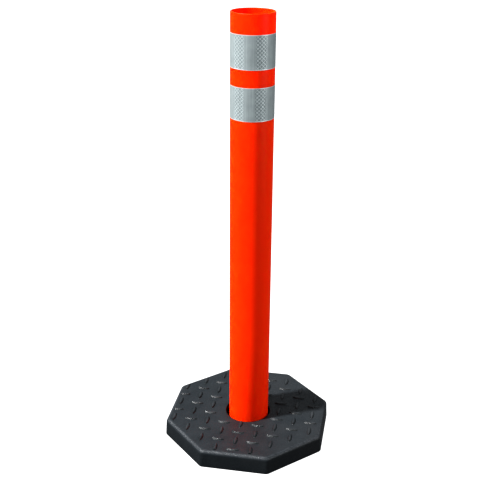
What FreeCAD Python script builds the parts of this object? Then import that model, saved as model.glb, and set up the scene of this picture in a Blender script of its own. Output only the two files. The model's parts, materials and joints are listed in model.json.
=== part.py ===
# Portable delineator post: an open-topped tube with two reflective bands, riveted to a foot collar,
# and an octagonal rubber base that drops over the tube and sits round the collar's flange.
# Millimetres, +Z up. The origin is on the ground at the centre of the octagon, whose front flat faces -Y.

import FreeCAD
import Part
import math
import os

Vector = FreeCAD.Vector
UP = Vector(0, 0, 1)

# ---- post tube
post_height = 1076.0  # ground to the rim
tube_od = 101.6
tube_wall = 4.0
rim_round = 1.9  # on both edges of the rim, so it stays under half the wall
post_side_angle = -58.5  # the post stands towards this side of the base's hole, seen from above

# ---- reflective bands
band_height = 76.2
band_thick = 0.5
band_lap = 14.0  # length of the overlap at the seam
band_lap_angle = 118.0  # where the seam is, seen from above
top_margin = 44.5  # rim to the upper band
band_gap = 39.0  # between the two bands
band_clearance = 0.65  # least gap between a band and the base's hole as the base is lifted

# ---- foot collar
flange_od = 178.0
flange_thick = 6.0
flange_round = 1.5
spigot_height = 52.0  # above the flange
spigot_wall = 5.0
spigot_play = 0.08  # radial clearance in the tube's socket
socket_depth_cut = 0.7  # the tube's end is bored out by this much for the spigot
socket_over = 4.0  # the socket is this much deeper than the spigot is tall
drain_width = 8.0
drain_depth = 2.0

# ---- rivets
rivet_count = 4
rivet_height = 19.0  # above the flange
rivet_shank_d = 4.8
rivet_hole_play = 0.05
rivet_head_d = 9.6
rivet_head_h = 1.5
rivet_bulb_d = 7.4
rivet_bulb_len = 5.0
mandrel_d = 2.6
mandrel_play = 0.04
mandrel_ball_d = 3.8
washer_d = 12.0
washer_thick = 1.0
pad_width = 15.0  # flat pads inside the spigot, where the washers sit
pad_stand = 2.5  # how far a pad stands in from the spigot's bore

# ---- rubber base
base_flats = 406.4  # across flats on the ground
base_height = 46.5
base_draft = 2.4  # each side leans in by this much over its height
base_corner_round = 14.0  # must be larger than the edge round
base_edge_round = 10.0
base_foot_round = 2.0
hole_play = 6.35  # radial clearance round the tube
hole_round = 2.5
seat_gap = 0.3  # the recess is deeper than the flange by this
recess_play = 1.2  # least radial clearance round the flange

# ---- tread lugs on the base
lug_step_x = 44.1
lug_step_y = 37.1
lug_shift_x = -6.4
lug_shift_y = 4.4
lug_length = 33.0
lug_width = 10.5
lug_height = 3.2
lug_root = 0.5  # depth below the surface, where a lug joins the base
lug_edge_gap = 1.0  # lugs are trimmed this far inside the rounded edge
lug_least = 4.0  # a lug whose centre is nearer than this to its trimming line is left out
lug_hole_gap = 2.0  # the same line round the hole's rounded mouth

# ---- pockets in the base's underside
pocket_count = 16
pocket_depth = 6.0
pocket_rib = 12.0  # between neighbours
pocket_rim = 20.0  # rubber left outside, and between a pocket and the recess
pocket_round = 7.0

# ---- worked out from the above
tube_r = tube_od / 2
bore_r = tube_r - tube_wall
socket_r = bore_r + socket_depth_cut
spigot_r = socket_r - spigot_play
spigot_bore_r = spigot_r - spigot_wall
pad_r = spigot_bore_r - pad_stand
hole_r = tube_r + hole_play
offset = hole_play - band_thick - band_clearance
recess_r = flange_od / 2 + offset + recess_play
recess_depth = flange_thick + seat_gap
socket_top = flange_thick + spigot_height + socket_over
rivet_z = flange_thick + rivet_height
base_top_flats = base_flats - 2 * base_draft
lug_flats = base_top_flats - 2 * (base_edge_round + lug_edge_gap)
lug_hole_r = hole_r + hole_round + lug_hole_gap
rivet_start_angle = post_side_angle + 180.0 / rivet_count  # no rivet faces the narrow side of the gap
side = math.radians(post_side_angle)
post_axis = Vector(offset * math.cos(side), offset * math.sin(side), 0)


def export(name, solids):
    """Writes one node: a single solid, or a group of separate ones."""
    shape = solids[0] if len(solids) == 1 else Part.makeCompound(solids)
    shape.exportStep("parts/" + name + ".step")


def turned(points, centre=Vector(0, 0, 0), axis=UP):
    """A solid of revolution from (radius, height) points, where a bulge arc is (radius, height, 'arc')."""
    edges = []
    here = points[0]
    index = 1
    while index <= len(points):
        there = points[index % len(points)]
        if len(there) == 3:
            after = points[(index + 1) % len(points)]
            edges.append(
                Part.Arc(
                    Vector(here[0], 0, here[1]),
                    Vector(there[0], 0, there[1]),
                    Vector(after[0], 0, after[1]),
                ).toShape()
            )
            here = after
            index += 2
        else:
            edges.append(Part.makeLine(Vector(here[0], 0, here[1]), Vector(there[0], 0, there[1])))
            here = there
            index += 1
    face = Part.Face(Part.Wire(edges))
    solid = face.revolve(Vector(0, 0, 0), UP, 360)
    solid.Placement = FreeCAD.Placement(centre, FreeCAD.Rotation(UP, axis))
    return solid


def quarter(radius_centre, height_centre, size, angle):
    """The middle point of a rounded edge, for turned()."""
    a = math.radians(angle)
    return (radius_centre + size * math.cos(a), height_centre + size * math.sin(a), "arc")


def rivet_places():
    """(angle in degrees, outward direction) of each rivet."""
    for i in range(rivet_count):
        angle = rivet_start_angle + i * 360.0 / rivet_count
        a = math.radians(angle)
        yield angle, Vector(math.cos(a), math.sin(a), 0)


def rivet_cut(radius, from_r, to_r):
    """Round cutters along each rivet's axis, between two distances from the post's axis."""
    return [
        Part.makeCylinder(radius, to_r - from_r, post_axis + out * from_r + UP * rivet_z, out)
        for _, out in rivet_places()
    ]


def make_post_tube():
    low, high, r = flange_thick, post_height, rim_round
    tube = turned(
        [
            (socket_r, low),
            (tube_r, low),
            (tube_r, high - r),
            quarter(tube_r - r, high - r, r, 45),
            (tube_r - r, high),
            (bore_r + r, high),
            quarter(bore_r + r, high - r, r, 135),
            (bore_r, high - r),
            (bore_r, socket_top + socket_depth_cut),
            (socket_r, socket_top),
        ],
        post_axis,
    )
    return tube.cut(rivet_cut(rivet_shank_d / 2 + rivet_hole_play, pad_r, tube_r + 1))


def make_foot_collar():
    outer, top = flange_od / 2, flange_thick + spigot_height
    lead = 1.5  # chamfer on the spigot's tip
    collar = turned(
        [
            (spigot_bore_r, 0),
            (outer - flange_round, 0),
            quarter(outer - flange_round, flange_round, flange_round, -45),
            (outer, flange_round),
            (outer, flange_thick - flange_round),
            quarter(outer - flange_round, flange_thick - flange_round, flange_round, 45),
            (outer - flange_round, flange_thick),
            (spigot_r, flange_thick),
            (spigot_r, top - lead),
            (spigot_r - lead, top),
            (spigot_bore_r, top),
        ],
        post_axis,
    )
    pad_height = 2 * (rivet_height - 3)
    for angle, _ in rivet_places():
        pad = Part.makeBox(spigot_wall / 2 + spigot_bore_r - pad_r, pad_width, pad_height)
        pad.translate(Vector(pad_r, -pad_width / 2, rivet_z - pad_height / 2))
        pad.rotate(Vector(0, 0, 0), UP, angle)
        pad.translate(post_axis)
        collar = collar.fuse(pad)
    collar = collar.cut(rivet_cut(rivet_shank_d / 2 + rivet_hole_play, pad_r - 1, tube_r))
    # drains let water out of the tube, and run between the rivets
    for angle, _ in rivet_places():
        drain = Part.makeBox(outer, drain_width, 2 * drain_depth)
        drain.translate(Vector(pad_r, -drain_width / 2, -drain_depth))
        drain.rotate(Vector(0, 0, 0), UP, angle + 180.0 / rivet_count)
        drain.translate(post_axis)
        collar = collar.cut(drain)
    return collar.removeSplitter()


def on_rivet_axes(profile):
    """One turned solid on each rivet's axis. Heights in the profile are distances from the post's axis."""
    return [turned(profile, post_axis + UP * rivet_z, out) for _, out in rivet_places()]


def make_rivet_bodies():
    bore = mandrel_d / 2 + mandrel_play
    shank, head, bulb = rivet_shank_d / 2, rivet_head_d / 2, rivet_bulb_d / 2
    seat = pad_r - washer_thick  # the blind end bears on the washer here
    return on_rivet_axes(
        [
            (bore, seat - rivet_bulb_len),
            (shank, seat - rivet_bulb_len),
            (bulb, seat - rivet_bulb_len * 0.45, "arc"),
            (shank + 0.4, seat),
            (shank, seat),
            (shank, tube_r),
            (head, tube_r),
            (head * 0.8, tube_r + rivet_head_h * 0.75, "arc"),
            (bore + 0.8, tube_r + rivet_head_h),
            (bore, tube_r + rivet_head_h - 0.5),
        ]
    )


def make_rivet_mandrels():
    pin, ball = mandrel_d / 2, mandrel_ball_d / 2
    end = pad_r - washer_thick - rivet_bulb_len
    return on_rivet_axes(
        [
            (0, end - 1.8),
            (ball * 0.7, end - 1.6),
            (ball, end - 0.8, "arc"),
            (ball, end),
            (pin, end),
            (pin, tube_r + rivet_head_h - 1.0),
            (0, tube_r + rivet_head_h - 0.8),
        ]
    )


def make_backing_washers():
    inner = rivet_shank_d / 2 + rivet_hole_play
    low, high = pad_r - washer_thick, pad_r
    return on_rivet_axes([(inner, low), (washer_d / 2, low), (washer_d / 2, high), (inner, high)])


def make_band(top):
    """A strip wrapped once round the tube, with its outer end lapped over the start."""
    low = top - band_height
    ring = turned(
        [
            (tube_r, low),
            (tube_r + band_thick, low),
            (tube_r + band_thick, top),
            (tube_r, top),
        ],
        post_axis,
    )
    lap_angle = math.degrees(band_lap / tube_r)
    inner = tube_r + band_thick * 0.5
    outer = tube_r + 2 * band_thick
    face = Part.makePlane(outer - inner, band_height, Vector(inner, 0, low), Vector(0, -1, 0), Vector(1, 0, 0))
    lap = face.revolve(Vector(0, 0, 0), UP, lap_angle)
    lap.rotate(Vector(0, 0, 0), UP, band_lap_angle)
    lap.translate(post_axis)
    return ring.fuse(lap).removeSplitter()


def octagon(flats, z):
    """A closed wire of eight sides, with a flat towards -Y."""
    corner = flats / 2 / math.cos(math.pi / 8)
    points = [
        Vector(
            corner * math.cos(math.pi / 8 + i * math.pi / 4),
            corner * math.sin(math.pi / 8 + i * math.pi / 4),
            z,
        )
        for i in range(8)
    ]
    return Part.makePolygon(points + points[:1])


def leaf(length, width, z):
    """A pointed outline of two arcs, lying along X."""
    left, right = Vector(-length / 2, 0, z), Vector(length / 2, 0, z)
    upper = Part.Arc(left, Vector(0, width / 2, z), right).toShape()
    lower = Part.Arc(right, Vector(0, -width / 2, z), left).toShape()
    return Part.Wire([upper, lower])


def make_lug(x, y, along_y):
    """One tread lug with crowned sides, standing on the base's top."""
    lug = Part.makeLoft(
        [
            leaf(lug_length * 1.06, lug_width * 1.12, -lug_root),
            leaf(lug_length * 0.93, lug_width * 0.74, lug_height * 0.6),
            leaf(lug_length * 0.76, lug_width * 0.34, lug_height),
        ],
        True,
        False,
    )
    if along_y:
        lug.rotate(Vector(0, 0, 0), UP, 90)
    lug.translate(Vector(x, y, base_height))
    return lug


def edge_distance(x, y):
    """How far a point of the top is inside the octagon where lugs are trimmed."""
    reach = max(abs(x * math.cos(k * math.pi / 4) + y * math.sin(k * math.pi / 4)) for k in range(4))
    return lug_flats / 2 - reach


def make_lugs():
    """The whole tread: lugs by turns along X and along Y, trimmed at the rounded edge and round the hole."""
    span = int(base_flats / min(lug_step_x, lug_step_y) / 2) + 1
    bottom = base_height - 2 * lug_root
    rim = Part.makeLoft([octagon(lug_flats, bottom), octagon(lug_flats, bottom + 4 * lug_height)], True, True)
    core = Part.makeCylinder(lug_hole_r, 4 * lug_height, Vector(0, 0, bottom))
    lugs = []
    for i in range(-span, span + 1):
        for j in range(-span, span + 1):
            x = lug_shift_x + i * lug_step_x
            y = lug_shift_y + j * lug_step_y
            from_edge = edge_distance(x, y)
            from_hole = math.hypot(x, y) - lug_hole_r
            if min(from_edge, from_hole) < lug_least:
                continue
            lug = make_lug(x, y, (i + j) % 2 == 0)
            if from_edge < lug_length:
                lug = lug.common(rim)
            if from_hole < lug_length:
                lug = lug.cut(core)
            lugs.extend(lug.Solids)
    return lugs


def make_pocket(index):
    """One shallow pocket in the underside, between two radial ribs."""
    step = 360.0 / pocket_count
    inner = recess_r + pocket_rim
    outer = base_flats / 2 - pocket_rim
    half_rib = pocket_rib / 2
    # the outer wall follows the octagon's flat, so a pocket is wider on the corner side
    mirrored = index % 2 == 1
    slope = math.tan(math.radians(step))
    corners = [
        (inner, half_rib),
        (outer, half_rib),
        (outer, outer * slope - half_rib / math.cos(math.radians(step))),
        (inner, inner * slope - half_rib / math.cos(math.radians(step))),
    ]
    points = [Vector(x, -y if mirrored else y, 0) for x, y in corners]
    pocket = Part.Face(Part.makePolygon(points + points[:1])).extrude(UP * pocket_depth)
    upright = [e for e in pocket.Edges if abs(e.Vertexes[0].Z - e.Vertexes[-1].Z) > pocket_depth / 2]
    pocket = pocket.makeFillet(pocket_round, upright)
    pocket.rotate(Vector(0, 0, 0), UP, (index // 2) * 2 * step)
    return pocket


def make_rubber_base():
    slab = Part.makeLoft([octagon(base_flats, 0), octagon(base_top_flats, base_height)], True, True)
    upright = [e for e in slab.Edges if abs(e.Vertexes[0].Z - e.Vertexes[-1].Z) > base_height / 2]
    slab = slab.makeFillet(base_corner_round, upright)
    top = [e for e in slab.Edges if all(abs(v.Z - base_height) < 1e-6 for v in e.Vertexes)]
    slab = slab.makeFillet(base_edge_round, top)
    foot = [e for e in slab.Edges if all(abs(v.Z) < 1e-6 for v in e.Vertexes)]
    slab = slab.makeFillet(base_foot_round, foot)
    hole = turned(
        [
            (0, -1),
            (recess_r, -1),
            (recess_r, recess_depth),
            (hole_r, recess_depth),
            (hole_r, base_height - hole_round),
            quarter(hole_r + hole_round, base_height - hole_round, hole_round, 135),
            (hole_r + hole_round, base_height),
            (hole_r + hole_round, base_height + 1),
            (0, base_height + 1),
        ]
    )
    slab = slab.cut([hole] + [make_pocket(i) for i in range(pocket_count)])
    return slab.fuse(make_lugs())


def main():
    os.makedirs("parts", exist_ok=True)
    upper_top = post_height - top_margin
    export("post_tube", [make_post_tube()])
    export("foot_collar", [make_foot_collar()])
    export("rivet_bodies", make_rivet_bodies())
    export("rivet_mandrels", make_rivet_mandrels())
    export("backing_washers", make_backing_washers())
    export("upper_reflective_band", [make_band(upper_top)])
    export("lower_reflective_band", [make_band(upper_top - band_height - band_gap)])
    export("rubber_base", [make_rubber_base()])


main()
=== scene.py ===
import bmesh
import bpy
import json
import math
from mathutils import Matrix, Vector


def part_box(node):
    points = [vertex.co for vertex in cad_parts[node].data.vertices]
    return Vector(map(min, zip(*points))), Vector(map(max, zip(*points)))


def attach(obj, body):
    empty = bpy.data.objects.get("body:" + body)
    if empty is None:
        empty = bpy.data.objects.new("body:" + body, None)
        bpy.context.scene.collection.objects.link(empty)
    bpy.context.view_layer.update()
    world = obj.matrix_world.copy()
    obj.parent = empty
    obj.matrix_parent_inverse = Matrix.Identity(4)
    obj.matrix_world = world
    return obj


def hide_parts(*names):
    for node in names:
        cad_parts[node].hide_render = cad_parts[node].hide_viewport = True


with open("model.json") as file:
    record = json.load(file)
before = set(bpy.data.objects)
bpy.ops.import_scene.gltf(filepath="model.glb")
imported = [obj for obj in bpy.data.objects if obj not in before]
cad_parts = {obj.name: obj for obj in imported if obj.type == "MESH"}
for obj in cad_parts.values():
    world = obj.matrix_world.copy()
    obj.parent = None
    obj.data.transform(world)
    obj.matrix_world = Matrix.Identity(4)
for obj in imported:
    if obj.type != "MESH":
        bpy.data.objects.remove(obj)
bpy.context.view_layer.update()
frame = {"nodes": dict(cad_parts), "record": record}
topBore = next(m for m in frame["record"]["mounts"] if m["name"] == "tube_top_bore")
postAxis = Vector((topBore["pos_m"][0], topBore["pos_m"][1], 0))
tubeRadius = (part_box("post_tube")[1].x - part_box("post_tube")[0].x) / 2
boreRadius = topBore["dims"]["r_mm"] / 1000
print("frame loaded")


def meshObject(name, bm, sharpAngle=35):
    bmesh.ops.remove_doubles(bm, verts=bm.verts, dist=1e-6)
    mesh = bpy.data.meshes.new(name)
    bm.to_mesh(mesh)
    bm.free()
    mesh.shade_smooth()
    mesh.set_sharp_from_angle(angle=math.radians(sharpAngle))
    piece = bpy.data.objects.new(name, mesh)
    bpy.context.scene.collection.objects.link(piece)
    return piece


def spinProfile(points, centre, segments):
    # a closed outline of (radius, height) points, turned once round the upright axis
    bm = bmesh.new()
    corners = [bm.verts.new((centre.x + r, centre.y, z)) for r, z in points]
    outline = [bm.edges.new((a, b)) for a, b in zip(corners, corners[1:] + corners[:1])]
    bmesh.ops.spin(bm, geom=corners + outline, cent=centre, axis=(0, 0, 1), angle=math.tau,
                   steps=segments, use_merge=True)
    bmesh.ops.remove_doubles(bm, verts=bm.verts, dist=1e-7)
    bmesh.ops.recalc_face_normals(bm, faces=bm.faces)
    return bm


def arc(centreR, centreZ, radius, start, end, steps):
    return [(centreR + radius * math.cos(math.radians(start + (end - start) * i / steps)),
             centreZ + radius * math.sin(math.radians(start + (end - start) * i / steps)))
            for i in range(steps + 1)]


def newMaterial(name, colour, roughness=0.5, metallic=0.0, specular=0.5):
    material = bpy.data.materials.new(name)
    material.use_nodes = True
    tree = material.node_tree
    shader = tree.nodes["Principled BSDF"]
    shader.inputs["Base Color"].default_value = (*colour, 1)
    shader.inputs["Roughness"].default_value = roughness
    shader.inputs["Metallic"].default_value = metallic
    shader.inputs["Specular IOR Level"].default_value = specular
    return material, tree, shader


def placeNode(tree, kind, **settings):
    node = tree.nodes.new(kind)
    for key, value in settings.items():
        if key in node.inputs:
            node.inputs[key].default_value = value
        else:
            setattr(node, key, value)
    return node


def objectPlace(tree, centre=(0, 0, 0), stretch=(1, 1, 1)):
    place = placeNode(tree, "ShaderNodeTexCoord")
    mapping = placeNode(tree, "ShaderNodeMapping")
    mapping.inputs["Location"].default_value = [-c * s for c, s in zip(centre, stretch)]
    mapping.inputs["Scale"].default_value = stretch
    tree.links.new(place.outputs["Object"], mapping.inputs["Vector"])
    return mapping.outputs["Vector"]


def grain(tree, vector, scale, detail=2.0, rough=0.5):
    node = placeNode(tree, "ShaderNodeTexNoise", Scale=scale, Detail=detail, Roughness=rough)
    tree.links.new(vector, node.inputs["Vector"])
    return node.outputs["Fac"]


def spread(tree, value, low, high, toLow=0.0, toHigh=1.0):
    node = placeNode(tree, "ShaderNodeMapRange")
    node.inputs["From Min"].default_value = low
    node.inputs["From Max"].default_value = high
    node.inputs["To Min"].default_value = toLow
    node.inputs["To Max"].default_value = toHigh
    tree.links.new(value, node.inputs["Value"])
    return node.outputs["Result"]


def blendColour(tree, share, first, second):
    # on a colour Mix node 0 is the factor, 6 and 7 are the two colours, and 2 is the result
    node = placeNode(tree, "ShaderNodeMix", data_type="RGBA")
    for socket, colour in ((node.inputs[6], first), (node.inputs[7], second)):
        if isinstance(colour, tuple):
            socket.default_value = (*colour, 1)
        else:
            tree.links.new(colour, socket)
    tree.links.new(share, node.inputs[0])
    return node.outputs[2]


def calc(tree, operation, first, second):
    node = placeNode(tree, "ShaderNodeMath", operation=operation)
    for socket, value in zip(node.inputs, (first, second)):
        if isinstance(value, (int, float)):
            socket.default_value = value
        else:
            tree.links.new(value, socket)
    return node.outputs[0]


def relief(tree, height, strength, distance, under=None):
    node = placeNode(tree, "ShaderNodeBump", Strength=strength, Distance=distance)
    tree.links.new(height, node.inputs["Height"])
    if under is not None:
        tree.links.new(under, node.inputs["Normal"])
    return node.outputs["Normal"]


cameraSpec = {
    "place": (0.3321, -1.9289, 1.3501),
    "heading": 9.75,  # degrees, turned from looking along +Y
    "pitch": 23.33,  # degrees below level
    "roll": 0.64,
    "lens": 62.85,  # mm, as is the sensor's width
    "sensor": 36,
    "near": 0.05,
    "far": 200,
}


def makeCamera():
    data = bpy.data.cameras.new("viewCamera")
    data.sensor_width = cameraSpec["sensor"]
    data.lens = cameraSpec["lens"]
    data.clip_start = cameraSpec["near"]
    data.clip_end = cameraSpec["far"]
    camera = bpy.data.objects.new("viewCamera", data)
    bpy.context.scene.collection.objects.link(camera)
    turn = (Matrix.Rotation(math.radians(cameraSpec["heading"]), 4, "Z")
            @ Matrix.Rotation(math.radians(90 - cameraSpec["pitch"]), 4, "X")
            @ Matrix.Rotation(math.radians(cameraSpec["roll"]), 4, "Z"))
    camera.matrix_world = Matrix.Translation(cameraSpec["place"]) @ turn
    bpy.context.scene.camera = camera


tubeSpec = {
    "segments": 160,
    "rimRound": 0.0019,
    "socketStep": 0.0007,  # the lower end is bored out by this much
    "endRound": 0.0004,
    "rings": (0.25, 0.5, 0.75),  # shares of the height, to keep the wall's faces short
    "colour": (0.93, 0.034, 0.0003),
    "paleColour": (0.95, 0.045, 0.001),  # sun-bleached patches
    "paleShare": 0.35,
    "scuffColour": (0.95, 0.09, 0.03),
    "scuffShare": 0.5,
    "scuffRough": 0.2,  # added to the roughness where the tube is scuffed
    "rough": (0.36, 0.46),
    "specular": 0.08,
    "bleed": 0.6,  # light carried sideways in the translucent wall
    "bleedReach": (0.024, 0.003, 0.0005),
}


def makeTube():
    low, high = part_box("post_tube")
    rim, end = tubeSpec["rimRound"], tubeSpec["endRound"]
    socketRadius = boreRadius + tubeSpec["socketStep"]
    stepTop = topBore["pos_m"][2] - topBore["dims"]["length_mm"] / 1000
    outline = [(socketRadius, low.z)]
    outline += arc(tubeRadius - end, low.z + end, end, -90, 0, 3)
    outline += [(tubeRadius, low.z + (high.z - low.z) * share) for share in tubeSpec["rings"]]
    outline += arc(tubeRadius - rim, high.z - rim, rim, 0, 90, 8)
    outline += arc(boreRadius + rim, high.z - rim, rim, 90, 180, 8)
    outline += [(boreRadius, low.z + (high.z - low.z) * share) for share in reversed(tubeSpec["rings"])]
    outline += [(boreRadius, stepTop), (socketRadius, stepTop - tubeSpec["socketStep"])]
    tube = meshObject("tube", spinProfile(outline, postAxis, tubeSpec["segments"]))
    tube.data.materials.append(tubeMaterial())
    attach(tube, "post")
    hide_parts("post_tube")


def tubeMaterial():
    material, tree, shader = newMaterial("orangePlastic", tubeSpec["colour"], specular=tubeSpec["specular"])
    shader.inputs["Subsurface Weight"].default_value = tubeSpec["bleed"]
    shader.inputs["Subsurface Radius"].default_value = tubeSpec["bleedReach"]
    shader.inputs["Subsurface Scale"].default_value = 1.0
    drawn = objectPlace(tree, postAxis, (260, 260, 1.2))  # long faint lines from the extruder's die
    lines = grain(tree, drawn, 1.0, 3.0)
    even = objectPlace(tree, postAxis)
    mottle = grain(tree, even, 22.0, 3.0)
    orangePeel = grain(tree, even, 900.0, 2.0)
    scuffs = spread(tree, grain(tree, objectPlace(tree, postAxis, (90, 90, 420)), 1.0, 4.0, 0.6), 0.66, 0.8)
    patches = spread(tree, mottle, 0.45, 0.75)
    worn = calc(tree, "MULTIPLY", scuffs, patches)
    pale = calc(tree, "MULTIPLY", patches, tubeSpec["paleShare"])
    colour = blendColour(tree, pale, tubeSpec["colour"], tubeSpec["paleColour"])
    scuffed = calc(tree, "MULTIPLY", worn, tubeSpec["scuffShare"])
    colour = blendColour(tree, scuffed, colour, tubeSpec["scuffColour"])
    tree.links.new(colour, shader.inputs["Base Color"])
    rough = calc(tree, "ADD", spread(tree, mottle, 0.3, 0.7, *tubeSpec["rough"]),
                 calc(tree, "MULTIPLY", worn, tubeSpec["scuffRough"]))
    tree.links.new(rough, shader.inputs["Roughness"])
    normal = relief(tree, lines, 0.25, 0.0003)
    normal = relief(tree, orangePeel, 0.05, 0.0002, normal)
    tree.links.new(normal, shader.inputs["Normal"])
    return material


bandSpec = {
    "strips": 12,  # tooling strips round the tube, by turns netted and plain
    "firstStrip": 17.3,  # degrees from +X to the first strip's edge
    "cellsAcross": 3,  # diamonds across a netted strip
    "cellsHigh": 9,
    "ridgeWidth": 0.0013,
    "cellDepth": 0.00018,
    "plainDepth": 0.00003,
    "hem": 0.0016,  # sealed edge at the top and bottom
    "thick": 0.0005,
    "solidShare": 0.9,  # of the thickness; the rest is clearance on the tube
    "lap": 0.014,
    "lapAngle": 118.0,
    "climb": 0.004,  # how far the sheet takes to climb over its own start
    "plainColour": (0.285, 0.32, 0.324),
    "cellColour": (0.242, 0.276, 0.28),
    "ridgeColour": (0.46, 0.51, 0.515),
    "plainRough": 0.62,
    "cellRough": 0.65,
    "ridgeRough": 0.5,
    "metallic": 0.5,
    "coat": 0.1,
    "coatRough": 0.25,
    "tones": (0.88, 1.14),  # the darkest and lightest streaks, as shares of the colour
}


def makeBand(name, node):
    low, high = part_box(node)
    height = high.z - low.z
    outer = tubeRadius + bandSpec["thick"]
    girth = math.tau * outer
    length = girth + bandSpec["lap"]
    stripWidth = girth / bandSpec["strips"]
    cellWidth = stripWidth / bandSpec["cellsAcross"]
    cellHeight = height / bandSpec["cellsHigh"]
    across = math.ceil(length / cellWidth) + 2
    count = across + bandSpec["cellsHigh"] + 2
    bm = bmesh.new()
    # a square net turned an eighth gives diamonds, one unit from tip to tip
    bmesh.ops.create_grid(bm, x_segments=count, y_segments=count, size=count * math.sqrt(0.125))
    bmesh.ops.rotate(bm, verts=bm.verts, matrix=Matrix.Rotation(math.pi / 4, 3, "Z"))
    bmesh.ops.scale(bm, verts=bm.verts, vec=(cellWidth, cellHeight, 1))
    start = math.radians(bandSpec["lapAngle"])
    phase = (math.radians(bandSpec["firstStrip"]) - start) * outer % stripWidth
    middle = round(length / 2 / stripWidth) * stripWidth + phase
    bmesh.ops.translate(bm, verts=bm.verts, vec=(middle, height / 2, 0))
    for point, normal in (((0, 0, 0), (-1, 0, 0)), ((length, 0, 0), (1, 0, 0)),
                          ((0, 0, 0), (0, -1, 0)), ((0, height, 0), (0, 1, 0))):
        trim(bm, point, normal, True)
    trim(bm, (0, bandSpec["hem"], 0), (0, -1, 0), False)
    trim(bm, (0, height - bandSpec["hem"], 0), (0, 1, 0), False)
    edges = [phase + i * stripWidth for i in range(-1, bandSpec["strips"] + 2)]
    for x in edges:
        if 0 < x < length:
            trim(bm, (x, 0, 0), (1, 0, 0), False)
    netted, plain = [], []
    for face in bm.faces:
        centre = face.calc_center_median()
        if not bandSpec["hem"] < centre.y < height - bandSpec["hem"]:
            face.material_index = 1
            continue
        angle = math.degrees(start + centre.x / outer) - bandSpec["firstStrip"]
        strip = math.floor(angle / (360 / bandSpec["strips"]))
        (netted if strip % 2 else plain).append(face)
    for face in netted:
        face.material_index = 2
    ridges = bmesh.ops.inset_individual(bm, faces=netted, thickness=bandSpec["ridgeWidth"] / 2,
                                        depth=-bandSpec["cellDepth"])["faces"]
    for face in ridges:
        face.material_index = 1
    bmesh.ops.inset_individual(bm, faces=plain, thickness=bandSpec["ridgeWidth"] / 2,
                               depth=-bandSpec["plainDepth"])
    curl(bm, start, outer, length, low.z)
    bmesh.ops.solidify(bm, geom=bm.faces[:], thickness=bandSpec["thick"] * bandSpec["solidShare"])
    band = meshObject(name, bm, 60)
    for material in bandMaterials():
        band.data.materials.append(material)
    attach(band, "post")
    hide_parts(node)


def trim(bm, point, normal, away):
    bmesh.ops.bisect_plane(bm, geom=bm.verts[:] + bm.edges[:] + bm.faces[:], dist=1e-7,
                           plane_co=point, plane_no=normal, clear_outer=away)


def curl(bm, start, outer, length, floor):
    # wraps the flat sheet round the tube, the far end over the near one
    girth = math.tau * outer
    for v in bm.verts:
        climbing = min(max((v.co.x - girth + bandSpec["climb"]) / bandSpec["climb"], 0), 1)
        lift = bandSpec["thick"] * climbing * climbing * (3 - 2 * climbing)
        radius = outer + v.co.z + lift
        angle = start + v.co.x / outer
        v.co = (postAxis.x + radius * math.cos(angle), postAxis.y + radius * math.sin(angle), floor + v.co.y)
    bmesh.ops.recalc_face_normals(bm, faces=bm.faces)
    middle = bm.faces[0].calc_center_median() - postAxis
    if bm.faces[0].normal.dot(Vector((middle.x, middle.y, 0))) < 0:
        bmesh.ops.reverse_faces(bm, faces=bm.faces)


def bandMaterials():
    # both bands share the three finishes, in the order of the faces' material numbers
    made = []
    for name, part in (("sheetPlain", "plain"), ("sheetSeal", "ridge"), ("sheetCell", "cell")):
        if name in bpy.data.materials:
            made.append(bpy.data.materials[name])
            continue
        colour = bandSpec[part + "Colour"]
        material, tree, shader = newMaterial(name, colour, bandSpec[part + "Rough"], bandSpec["metallic"])
        shader.inputs["Coat Weight"].default_value = bandSpec["coat"]
        shader.inputs["Coat Roughness"].default_value = bandSpec["coatRough"]
        even = objectPlace(tree, postAxis)
        prisms = placeNode(tree, "ShaderNodeTexVoronoi", Scale=1400.0)
        tree.links.new(even, prisms.inputs["Vector"])
        film = grain(tree, even, 60.0, 3.0)
        drawn = grain(tree, objectPlace(tree, postAxis, (420, 420, 4)), 1.0, 2.0)
        shade = calc(tree, "ADD", calc(tree, "MULTIPLY", film, 0.4), calc(tree, "MULTIPLY", drawn, 0.6))
        darkest, lightest = (tuple(c * tone for c in colour) for tone in bandSpec["tones"])
        tint = blendColour(tree, spread(tree, shade, 0.35, 0.65), darkest, lightest)
        tree.links.new(tint, shader.inputs["Base Color"])
        tree.links.new(relief(tree, prisms.outputs["Distance"], 0.12, 0.0002), shader.inputs["Normal"])
        made.append(material)
    return made


baseSpec = {
    "segments": 256,
    "draft": 0.0024,
    "cornerRound": 0.014,
    "edgeRound": 0.010,
    "footRound": 0.002,
    "holeRadius": 0.05715,
    "holeRound": 0.0025,
    "recessRadius": 0.0954,
    "recessDepth": 0.0063,
    "recessRound": 0.0006,
    "topRings": (0.066, 0.075, 0.085, 0.105, 0.125, 0.145, 0.165, 0.180),
    "sideRings": (0.028, 0.020, 0.012),
    "underRings": (0.9, 0.75, 0.5, 0.25),  # shares of the way from the recess to the side
    "roundTo": 0.085,  # inside this radius the top's rings stay round
    "eightSidedFrom": 0.165,  # outside this one they follow the octagon
    "recessFade": 0.03,  # how far out of the recess the underside becomes eight-sided
    "crowding": 0.75,
    "sharpAngle": 40,
    "lugHeight": 0.0032,
}

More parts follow.
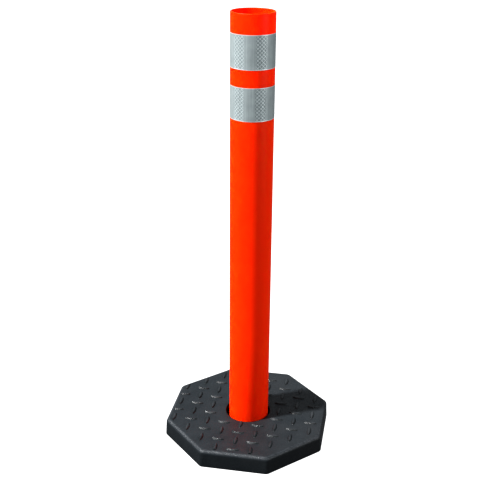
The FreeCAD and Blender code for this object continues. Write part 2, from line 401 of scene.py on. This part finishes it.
lugSpec = {
    "stepX": 0.0441,
    "stepY": 0.0371,
    "shiftX": -0.0064,
    "shiftY": 0.0044,
    "length": 0.033,
    "width": 0.0105,
    "edgeGap": 0.001,
    "holeGap": 0.002,
    "least": 0.004,  # a lug whose middle is nearer to an edge than this is left out
    "segments": 24,
    "pointed": 0.35,  # 0 gives an oval, and more gives sharper ends
    # each ring's share of the length and the width, and its height as a share
    "rings": ((1.08, 1.2, -0.12), (1.02, 1.06, 0.03), (0.985, 0.94, 0.22), (0.945, 0.78, 0.52),
              (0.9, 0.6, 0.8), (0.83, 0.4, 0.96), (0.72, 0.2, 1.0), (0.5, 0.06, 1.0)),
}

pocketSpec = {
    "count": 16,
    "depth": 0.006,
    "rib": 0.012,
    "rim": 0.020,
    "round": 0.007,
    "overrun": 0.005,  # how far the cutter starts below the base
}


def octagonReach(angle, flat, corner):
    # distance from the middle to the rounded octagon's side, in this direction
    fromFlat = (angle + math.pi / 8) % (math.pi / 4) - math.pi / 8
    tangentEnd = math.atan((flat - corner) * math.tan(math.pi / 8) / flat)
    if abs(fromFlat) <= tangentEnd:
        return flat / math.cos(fromFlat)
    centre = (flat - corner) / math.cos(math.pi / 8)
    fromCorner = math.pi / 8 - abs(fromFlat)
    return centre * math.cos(fromCorner) + math.sqrt(corner ** 2 - (centre * math.sin(fromCorner)) ** 2)


def makeBase():
    low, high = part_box("rubber_base")
    top = high.z - baseSpec["lugHeight"]
    lean = baseSpec["draft"] / top
    flat = high.x + lean * baseSpec["footRound"]  # half across flats on the ground
    upper = flat - baseSpec["draft"]
    edge, foot, mouth = baseSpec["edgeRound"], baseSpec["footRound"], baseSpec["holeRound"]
    hole, recess, deep = baseSpec["holeRadius"], baseSpec["recessRadius"], baseSpec["recessDepth"]
    side = upper + lean * edge
    outline = [(hole, deep), (hole, (deep + top) / 2)]
    outline += arc(hole + mouth, top - mouth, mouth, 180, 90, 5)
    outline += [(r, top) for r in baseSpec["topRings"]]
    outline += arc(side - edge, top - edge, edge, 90, 3, 9)
    outline += [(flat - lean * z, z) for z in baseSpec["sideRings"]]
    outline += arc(high.x - foot, foot, foot, 0, -90, 4)
    outline += [(recess + share * (high.x - foot - recess), 0) for share in baseSpec["underRings"]]
    lip = baseSpec["recessRound"]
    outline += arc(recess + lip, lip, lip, -90, -180, 2)
    outline += [(recess, deep), ((recess + hole) / 2, deep)]
    bm = spinProfile(outline, Vector((0, 0, 0)), baseSpec["segments"])
    for v in bm.verts:
        radius = math.hypot(v.co.x, v.co.y)
        angle = math.atan2(v.co.y, v.co.x)
        share = (radius - baseSpec["roundTo"]) / (baseSpec["eightSidedFrom"] - baseSpec["roundTo"])
        share = min(max(share, 0), 1)
        if v.co.z < deep + 1e-5:
            share = min(max((radius - recess) / baseSpec["recessFade"], 0), 1)
        # crowd the columns towards the corners, where the outline turns
        fromFlat = (angle + math.pi / 8) % (math.pi / 4) - math.pi / 8
        crowd = fromFlat / (math.pi / 8)
        angle += share * math.pi / 8 * baseSpec["crowding"] * math.sin(math.pi * crowd) / math.pi
        reach = octagonReach(angle, flat, baseSpec["cornerRound"]) / flat
        radius *= 1 + share * (reach - 1)
        v.co.x, v.co.y = radius * math.cos(angle), radius * math.sin(angle)
    base = meshObject("rubberBase", bm, baseSpec["sharpAngle"])
    cutPockets(base, flat)
    addLugs(base, upper, top)
    base.data.materials.append(rubberMaterial(top))
    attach(base, "base")
    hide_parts("rubber_base")


def cutPockets(base, flat):
    cutter = bmesh.new()
    step = math.tau / pocketSpec["count"]
    inner = baseSpec["recessRadius"] + pocketSpec["rim"]
    outer = flat - pocketSpec["rim"]
    halfRib = pocketSpec["rib"] / 2
    for index in range(pocketSpec["count"]):
        bm = bmesh.new()
        sign = -1 if index % 2 else 1
        far = halfRib / math.cos(step)
        corners = ((inner, halfRib), (outer, halfRib),
                   (outer, outer * math.tan(step) - far), (inner, inner * math.tan(step) - far))
        plate = bm.faces.new([bm.verts.new((x, sign * y, -pocketSpec["overrun"])) for x, y in corners])
        raised = bmesh.ops.extrude_face_region(bm, geom=[plate])["geom"]
        bmesh.ops.translate(bm, verts=[g for g in raised if isinstance(g, bmesh.types.BMVert)],
                            vec=(0, 0, pocketSpec["overrun"] + pocketSpec["depth"]))
        upright = [e for e in bm.edges if abs(e.verts[0].co.z - e.verts[1].co.z) > pocketSpec["depth"] / 2]
        bmesh.ops.bevel(bm, geom=upright, offset=pocketSpec["round"], affect="EDGES", segments=5,
                        profile=0.5, material=-1)
        bmesh.ops.recalc_face_normals(bm, faces=bm.faces)
        bmesh.ops.rotate(bm, verts=bm.verts, matrix=Matrix.Rotation((index // 2) * 2 * step, 3, "Z"))
        piece = bpy.data.meshes.new("pocket")
        bm.to_mesh(piece)
        bm.free()
        cutter.from_mesh(piece)
        bpy.data.meshes.remove(piece)
    tool = meshObject("pocketCutter", cutter)
    cut = base.modifiers.new("pockets", "BOOLEAN")
    cut.operation = "DIFFERENCE"
    cut.solver = "EXACT"
    cut.object = tool
    applyModifiers(base)
    bpy.data.objects.remove(tool)


def applyModifiers(piece):
    graph = bpy.context.evaluated_depsgraph_get()
    finished = bpy.data.meshes.new_from_object(piece.evaluated_get(graph), depsgraph=graph)
    piece.modifiers.clear()
    old = piece.data
    piece.data = finished
    bpy.data.meshes.remove(old)


def lugShape():
    # an oval cage pulled to pointed ends, narrower towards the crown
    bm = bmesh.new()
    ring = bmesh.ops.create_circle(bm, segments=lugSpec["segments"], radius=1)["verts"]
    for v in ring:
        v.co.y *= abs(v.co.y) ** lugSpec["pointed"]
    edges = bm.edges[:]
    shares = lugSpec["rings"]
    lengthNow, widthNow = 1.0, 1.0
    for index, (lengthShare, widthShare, rise) in enumerate(shares):
        if index:
            raised = bmesh.ops.extrude_edge_only(bm, edges=edges)["geom"]
            ring = [g for g in raised if isinstance(g, bmesh.types.BMVert)]
            edges = [g for g in raised if isinstance(g, bmesh.types.BMEdge)]
        bmesh.ops.scale(bm, verts=ring, vec=(lengthShare / lengthNow, widthShare / widthNow, 1))
        for v in ring:
            v.co.z = rise * baseSpec["lugHeight"]
        lengthNow, widthNow = lengthShare, widthShare
    bmesh.ops.contextual_create(bm, geom=edges)
    floor = [e for e in bm.edges if e.is_boundary]
    bmesh.ops.contextual_create(bm, geom=floor)
    bmesh.ops.scale(bm, verts=bm.verts, vec=(lugSpec["length"] / 2, lugSpec["width"] / 2, 1))
    bmesh.ops.recalc_face_normals(bm, faces=bm.faces)
    return bm


def addLugs(base, upper, top):
    reach = upper - baseSpec["edgeRound"] - lugSpec["edgeGap"]
    holeReach = baseSpec["holeRadius"] + baseSpec["holeRound"] + lugSpec["holeGap"]
    sides = [Vector((math.cos(k * math.pi / 4), math.sin(k * math.pi / 4), 0)) for k in range(8)]
    pattern = bpy.data.meshes.new("lug")
    shape = lugShape()
    shape.to_mesh(pattern)
    shape.free()
    bm = bmesh.new()
    bm.from_mesh(base.data)
    span = int(upper / min(lugSpec["stepX"], lugSpec["stepY"])) + 1
    for i in range(-span, span + 1):
        for j in range(-span, span + 1):
            middle = Vector((lugSpec["shiftX"] + i * lugSpec["stepX"],
                             lugSpec["shiftY"] + j * lugSpec["stepY"], 0))
            fromEdge = reach - max(middle.dot(n) for n in sides)
            if min(fromEdge, middle.length - holeReach) < lugSpec["least"]:
                continue
            before = len(bm.verts)
            bm.from_mesh(pattern)
            bm.verts.ensure_lookup_table()
            added = bm.verts[before:]
            quarterTurn = Matrix.Rotation(math.pi / 2 if (i + j) % 2 == 0 else 0, 3, "Z")
            bmesh.ops.rotate(bm, verts=added, matrix=quarterTurn)
            bmesh.ops.translate(bm, verts=added, vec=middle + Vector((0, 0, top)))
            for v in added:
                for n in sides:  # flatten what would run over the rounded edge
                    v.co -= n * max(v.co.dot(n) - reach, 0)
                fromAxis = Vector((v.co.x, v.co.y, 0))
                v.co += fromAxis.normalized() * max(holeReach - fromAxis.length, 0)
    bm.to_mesh(base.data)
    bm.free()
    bpy.data.meshes.remove(pattern)
    base.data.shade_smooth()
    base.data.set_sharp_from_angle(angle=math.radians(baseSpec["sharpAngle"]))


rubberSpec = {
    "dark": (0.0108, 0.0138, 0.0162),
    "light": (0.0168, 0.0204, 0.0232),
    "dust": (0.023, 0.0228, 0.0238),
    "worn": (0.045, 0.047, 0.05),  # the lugs' rubbed crowns
    "grimeAndFlankShade": (0.003, 0.004, 0.0045),  # painted shade with some grime, darkening the lugs' lower flanks
    # painted shade: the base's sides are darkened below the rounded top edge
    "side": (0.005, 0.0062, 0.0066),
    "chafeAndGlint": (0.042, 0.045, 0.05),  # specks painted pale along the rounded edge: partly wear, partly painted highlight
    "specular": 0.25,
    "rough": (0.62, 0.3),
    "polish": 0.09,  # taken off the roughness of the crowns
    "dustShare": 0.4,
    "wornShare": 0.35,
    "grimeAndFlankShadeShare": 0.8,
    "sideShadeShare": 0.35,
    "chafeAndGlintShare": 0.75,
    "crumbScale": 420.0,
    "fineScale": 1500.0,
    "speckScale": 380.0,
    "broadScale": 26.0,
    "dustScale": 7.0,
    # heights from the top face, between which a finish or a painted shade starts or ends
    "crownFrom": 0.0006,
    "crownShare": 0.7,  # of the lugs' height
    "flankStart": (0.0001, 0.0007),
    "flankEnd": (0.0022, 0.003),
    "sideShadeEnd": (-0.012, -0.006),
    "chafeAndGlintStart": (-0.0075, -0.004),
    "chafeAndGlintEnd": (-0.0008, -0.0001),
}


def fade(tree, height, top, name, toLow=0.0, toHigh=1.0):
    low, high = rubberSpec[name]
    return spread(tree, height, top + low, top + high, toLow, toHigh)


def rubberMaterial(top):
    material, tree, shader = newMaterial("mouldedRubber", rubberSpec["dark"],
                                         specular=rubberSpec["specular"])
    even = objectPlace(tree)
    crumbs = placeNode(tree, "ShaderNodeTexVoronoi", Scale=rubberSpec["crumbScale"])
    tree.links.new(even, crumbs.inputs["Vector"])
    fine = grain(tree, even, rubberSpec["fineScale"], 2.0)
    specks = grain(tree, even, rubberSpec["speckScale"], 2.0)
    broad = grain(tree, even, rubberSpec["broadScale"], 4.0, 0.6)
    dust = grain(tree, even, rubberSpec["dustScale"], 3.0)
    axes = placeNode(tree, "ShaderNodeSeparateXYZ")
    tree.links.new(even, axes.inputs["Vector"])
    height = axes.outputs["Z"]
    crown = spread(tree, height, top + rubberSpec["crownFrom"],
                   top + rubberSpec["crownShare"] * baseSpec["lugHeight"])
    flank = calc(tree, "MULTIPLY", fade(tree, height, top, "flankStart"),
                 fade(tree, height, top, "flankEnd", 1.0, 0.0))
    rim = calc(tree, "MULTIPLY", fade(tree, height, top, "chafeAndGlintStart"),
               fade(tree, height, top, "chafeAndGlintEnd", 1.0, 0.0))
    shade = calc(tree, "ADD", calc(tree, "MULTIPLY", broad, 0.55), calc(tree, "MULTIPLY", specks, 0.45))
    mixed = blendColour(tree, spread(tree, shade, 0.38, 0.62), rubberSpec["dark"], rubberSpec["light"])
    dusty = calc(tree, "MULTIPLY", spread(tree, dust, 0.5, 0.75), rubberSpec["dustShare"])
    mixed = blendColour(tree, dusty, mixed, rubberSpec["dust"])
    # painted shade: the lugs' lower flanks are darkened, as shade in the crease at their foot, with some
    # grime
    grimeAndFlankShadeMask = calc(tree, "MULTIPLY", flank, rubberSpec["grimeAndFlankShadeShare"])
    mixed = blendColour(tree, grimeAndFlankShadeMask, mixed, rubberSpec["grimeAndFlankShade"])
    scuff = calc(tree, "MULTIPLY", crown, spread(tree, broad, 0.4, 0.65))
    worn = calc(tree, "MULTIPLY", scuff, rubberSpec["wornShare"])
    mixed = blendColour(tree, worn, mixed, rubberSpec["worn"])
    # painted shade: the sides below the rounded top edge are darkened
    sideShade = fade(tree, height, top, "sideShadeEnd", rubberSpec["sideShadeShare"], 0.0)
    mixed = blendColour(tree, sideShade, mixed, rubberSpec["side"])
    # painted highlight and wear: pale specks along the rounded top edge
    chafeAndGlint = calc(tree, "MULTIPLY", rim, spread(tree, specks, 0.44, 0.6))
    chafeAndGlint = calc(tree, "MULTIPLY", chafeAndGlint, rubberSpec["chafeAndGlintShare"])
    mixed = blendColour(tree, chafeAndGlint, mixed, rubberSpec["chafeAndGlint"])
    tree.links.new(mixed, shader.inputs["Base Color"])
    polish = calc(tree, "MULTIPLY", crown, rubberSpec["polish"])
    rough = calc(tree, "SUBTRACT", spread(tree, specks, 0.35, 0.65, *rubberSpec["rough"]), polish)
    tree.links.new(rough, shader.inputs["Roughness"])
    normal = relief(tree, crumbs.outputs["Distance"], 0.6, 0.0006)
    normal = relief(tree, fine, 0.25, 0.0003, normal)
    normal = relief(tree, specks, 0.5, 0.0016, normal)
    normal = relief(tree, broad, 0.25, 0.0015, normal)
    tree.links.new(normal, shader.inputs["Normal"])
    return material


footSpec = {
    "collar": (0.02, 0.02, 0.021),
    "collarRough": (0.42, 0.6),
    # each metal's colour and roughness, and how far the roughness goes under and over that
    "metals": (("rivetAluminium", (0.72, 0.73, 0.74), 0.34),
               ("platedSteel", (0.55, 0.55, 0.56), 0.3)),
    "metalUnder": 0.08,
    "metalOver": 0.14,
}


def dressFoot():
    plastic, tree, shader = newMaterial("collarPlastic", footSpec["collar"])
    even = objectPlace(tree, postAxis)
    varied = spread(tree, grain(tree, even, 40.0, 3.0), 0.3, 0.7, *footSpec["collarRough"])
    tree.links.new(varied, shader.inputs["Roughness"])
    tree.links.new(relief(tree, grain(tree, even, 700.0, 2.0), 0.15, 0.0002), shader.inputs["Normal"])
    metals = {}
    for name, colour, rough in footSpec["metals"]:
        metal, tree, shader = newMaterial(name, colour, rough, 1.0)
        even = objectPlace(tree, postAxis)
        varied = spread(tree, grain(tree, even, 500.0, 3.0), 0.3, 0.7,
                        rough - footSpec["metalUnder"], rough + footSpec["metalOver"])
        tree.links.new(varied, shader.inputs["Roughness"])
        tree.links.new(relief(tree, grain(tree, even, 1800.0, 2.0), 0.08, 0.0001), shader.inputs["Normal"])
        metals[name] = metal
    finishes = {
        "foot_collar": plastic,
        "rivet_bodies": metals["rivetAluminium"],
        "rivet_mandrels": metals["platedSteel"],
        "backing_washers": metals["platedSteel"],
    }
    for node, material in finishes.items():
        slots = frame["nodes"][node].data.materials
        slots.clear()
        slots.append(material)


stageSpec = {
    "floorSize": 400.0,
    "floorDrop": 0.0002,  # just under the base, so the two faces don't coincide
    "floorColour": (0.06, 0.06, 0.06),
    "floorRough": 0.9,
    "floorGlow": 0.86,  # keeps the floor pale and its shadow faint
    "sky": (0.93, 0.97, 1.0),
    "ground": (0.3, 0.3, 0.31),
    "horizon": (-0.12, 0.25),  # the ground's colour goes over to the sky's between these heights
    "skyStrength": 0.58,
    "keyFrom": (-0.88, -0.47),
    "keyHeight": 50.0,  # degrees above level
    "keyStrength": 8.8,
    "keyAngle": 5.0,
    "fillPlace": (2.6, -0.8, 0.8),
    "fillAim": (0, 0, 0.55),
    "fillSize": 1.4,
    "fillPower": 27.0,
}


def makeStage():
    bm = bmesh.new()
    bmesh.ops.create_grid(bm, x_segments=1, y_segments=1, size=stageSpec["floorSize"] / 2)
    bmesh.ops.translate(bm, verts=bm.verts, vec=(0, 0, -stageSpec["floorDrop"]))
    floor = meshObject("floor", bm)
    material, tree, shader = newMaterial("palePaper", stageSpec["floorColour"], stageSpec["floorRough"],
                                         specular=0.0)
    shader.inputs["Emission Color"].default_value = (1, 1, 1, 1)
    shader.inputs["Emission Strength"].default_value = stageSpec["floorGlow"]
    floor.data.materials.append(material)
    floor.visible_diffuse = False
    floor.visible_glossy = False
    makeSky()
    aim = Vector((-stageSpec["keyFrom"][0], -stageSpec["keyFrom"][1], 0)).normalized()
    aim.z = -math.tan(math.radians(stageSpec["keyHeight"]))
    key = aimedLight("keyLight", "SUN", stageSpec["keyStrength"], aim)
    key.data.angle = math.radians(stageSpec["keyAngle"])
    toPost = Vector(stageSpec["fillAim"]) - Vector(stageSpec["fillPlace"])
    fill = aimedLight("fillLight", "AREA", stageSpec["fillPower"], toPost)
    fill.data.size = stageSpec["fillSize"]
    fill.location = stageSpec["fillPlace"]


def aimedLight(name, kind, power, direction):
    data = bpy.data.lights.new(name, kind)
    data.energy = power
    light = bpy.data.objects.new(name, data)
    bpy.context.scene.collection.objects.link(light)
    light.rotation_mode = "QUATERNION"
    light.rotation_quaternion = direction.to_track_quat("-Z", "Y")
    return light


def makeSky():
    world = bpy.data.worlds.new("studioSky")
    bpy.context.scene.world = world
    world.use_nodes = True
    tree = world.node_tree
    tree.nodes.clear()
    place = placeNode(tree, "ShaderNodeTexCoord")
    split = placeNode(tree, "ShaderNodeSeparateXYZ")
    tree.links.new(place.outputs["Generated"], split.inputs["Vector"])
    up = spread(tree, split.outputs["Z"], *stageSpec["horizon"])
    colour = blendColour(tree, up, stageSpec["ground"], stageSpec["sky"])
    background = placeNode(tree, "ShaderNodeBackground", Strength=stageSpec["skyStrength"])
    output = placeNode(tree, "ShaderNodeOutputWorld")
    tree.links.new(colour, background.inputs["Color"])
    tree.links.new(background.outputs["Background"], output.inputs["Surface"])


makeCamera()
bpy.context.scene.view_settings.view_transform = "Standard"
bpy.context.scene.view_settings.look = "High Contrast"
makeStage()
print("camera, floor and lights ready")
makeTube()
print("tube ready")
makeBand("upperBand", "upper_reflective_band")
makeBand("lowerBand", "lower_reflective_band")
print("bands ready")
makeBase()
print("base ready")
dressFoot()
print("foot ready")
bpy.context.view_layer.update()
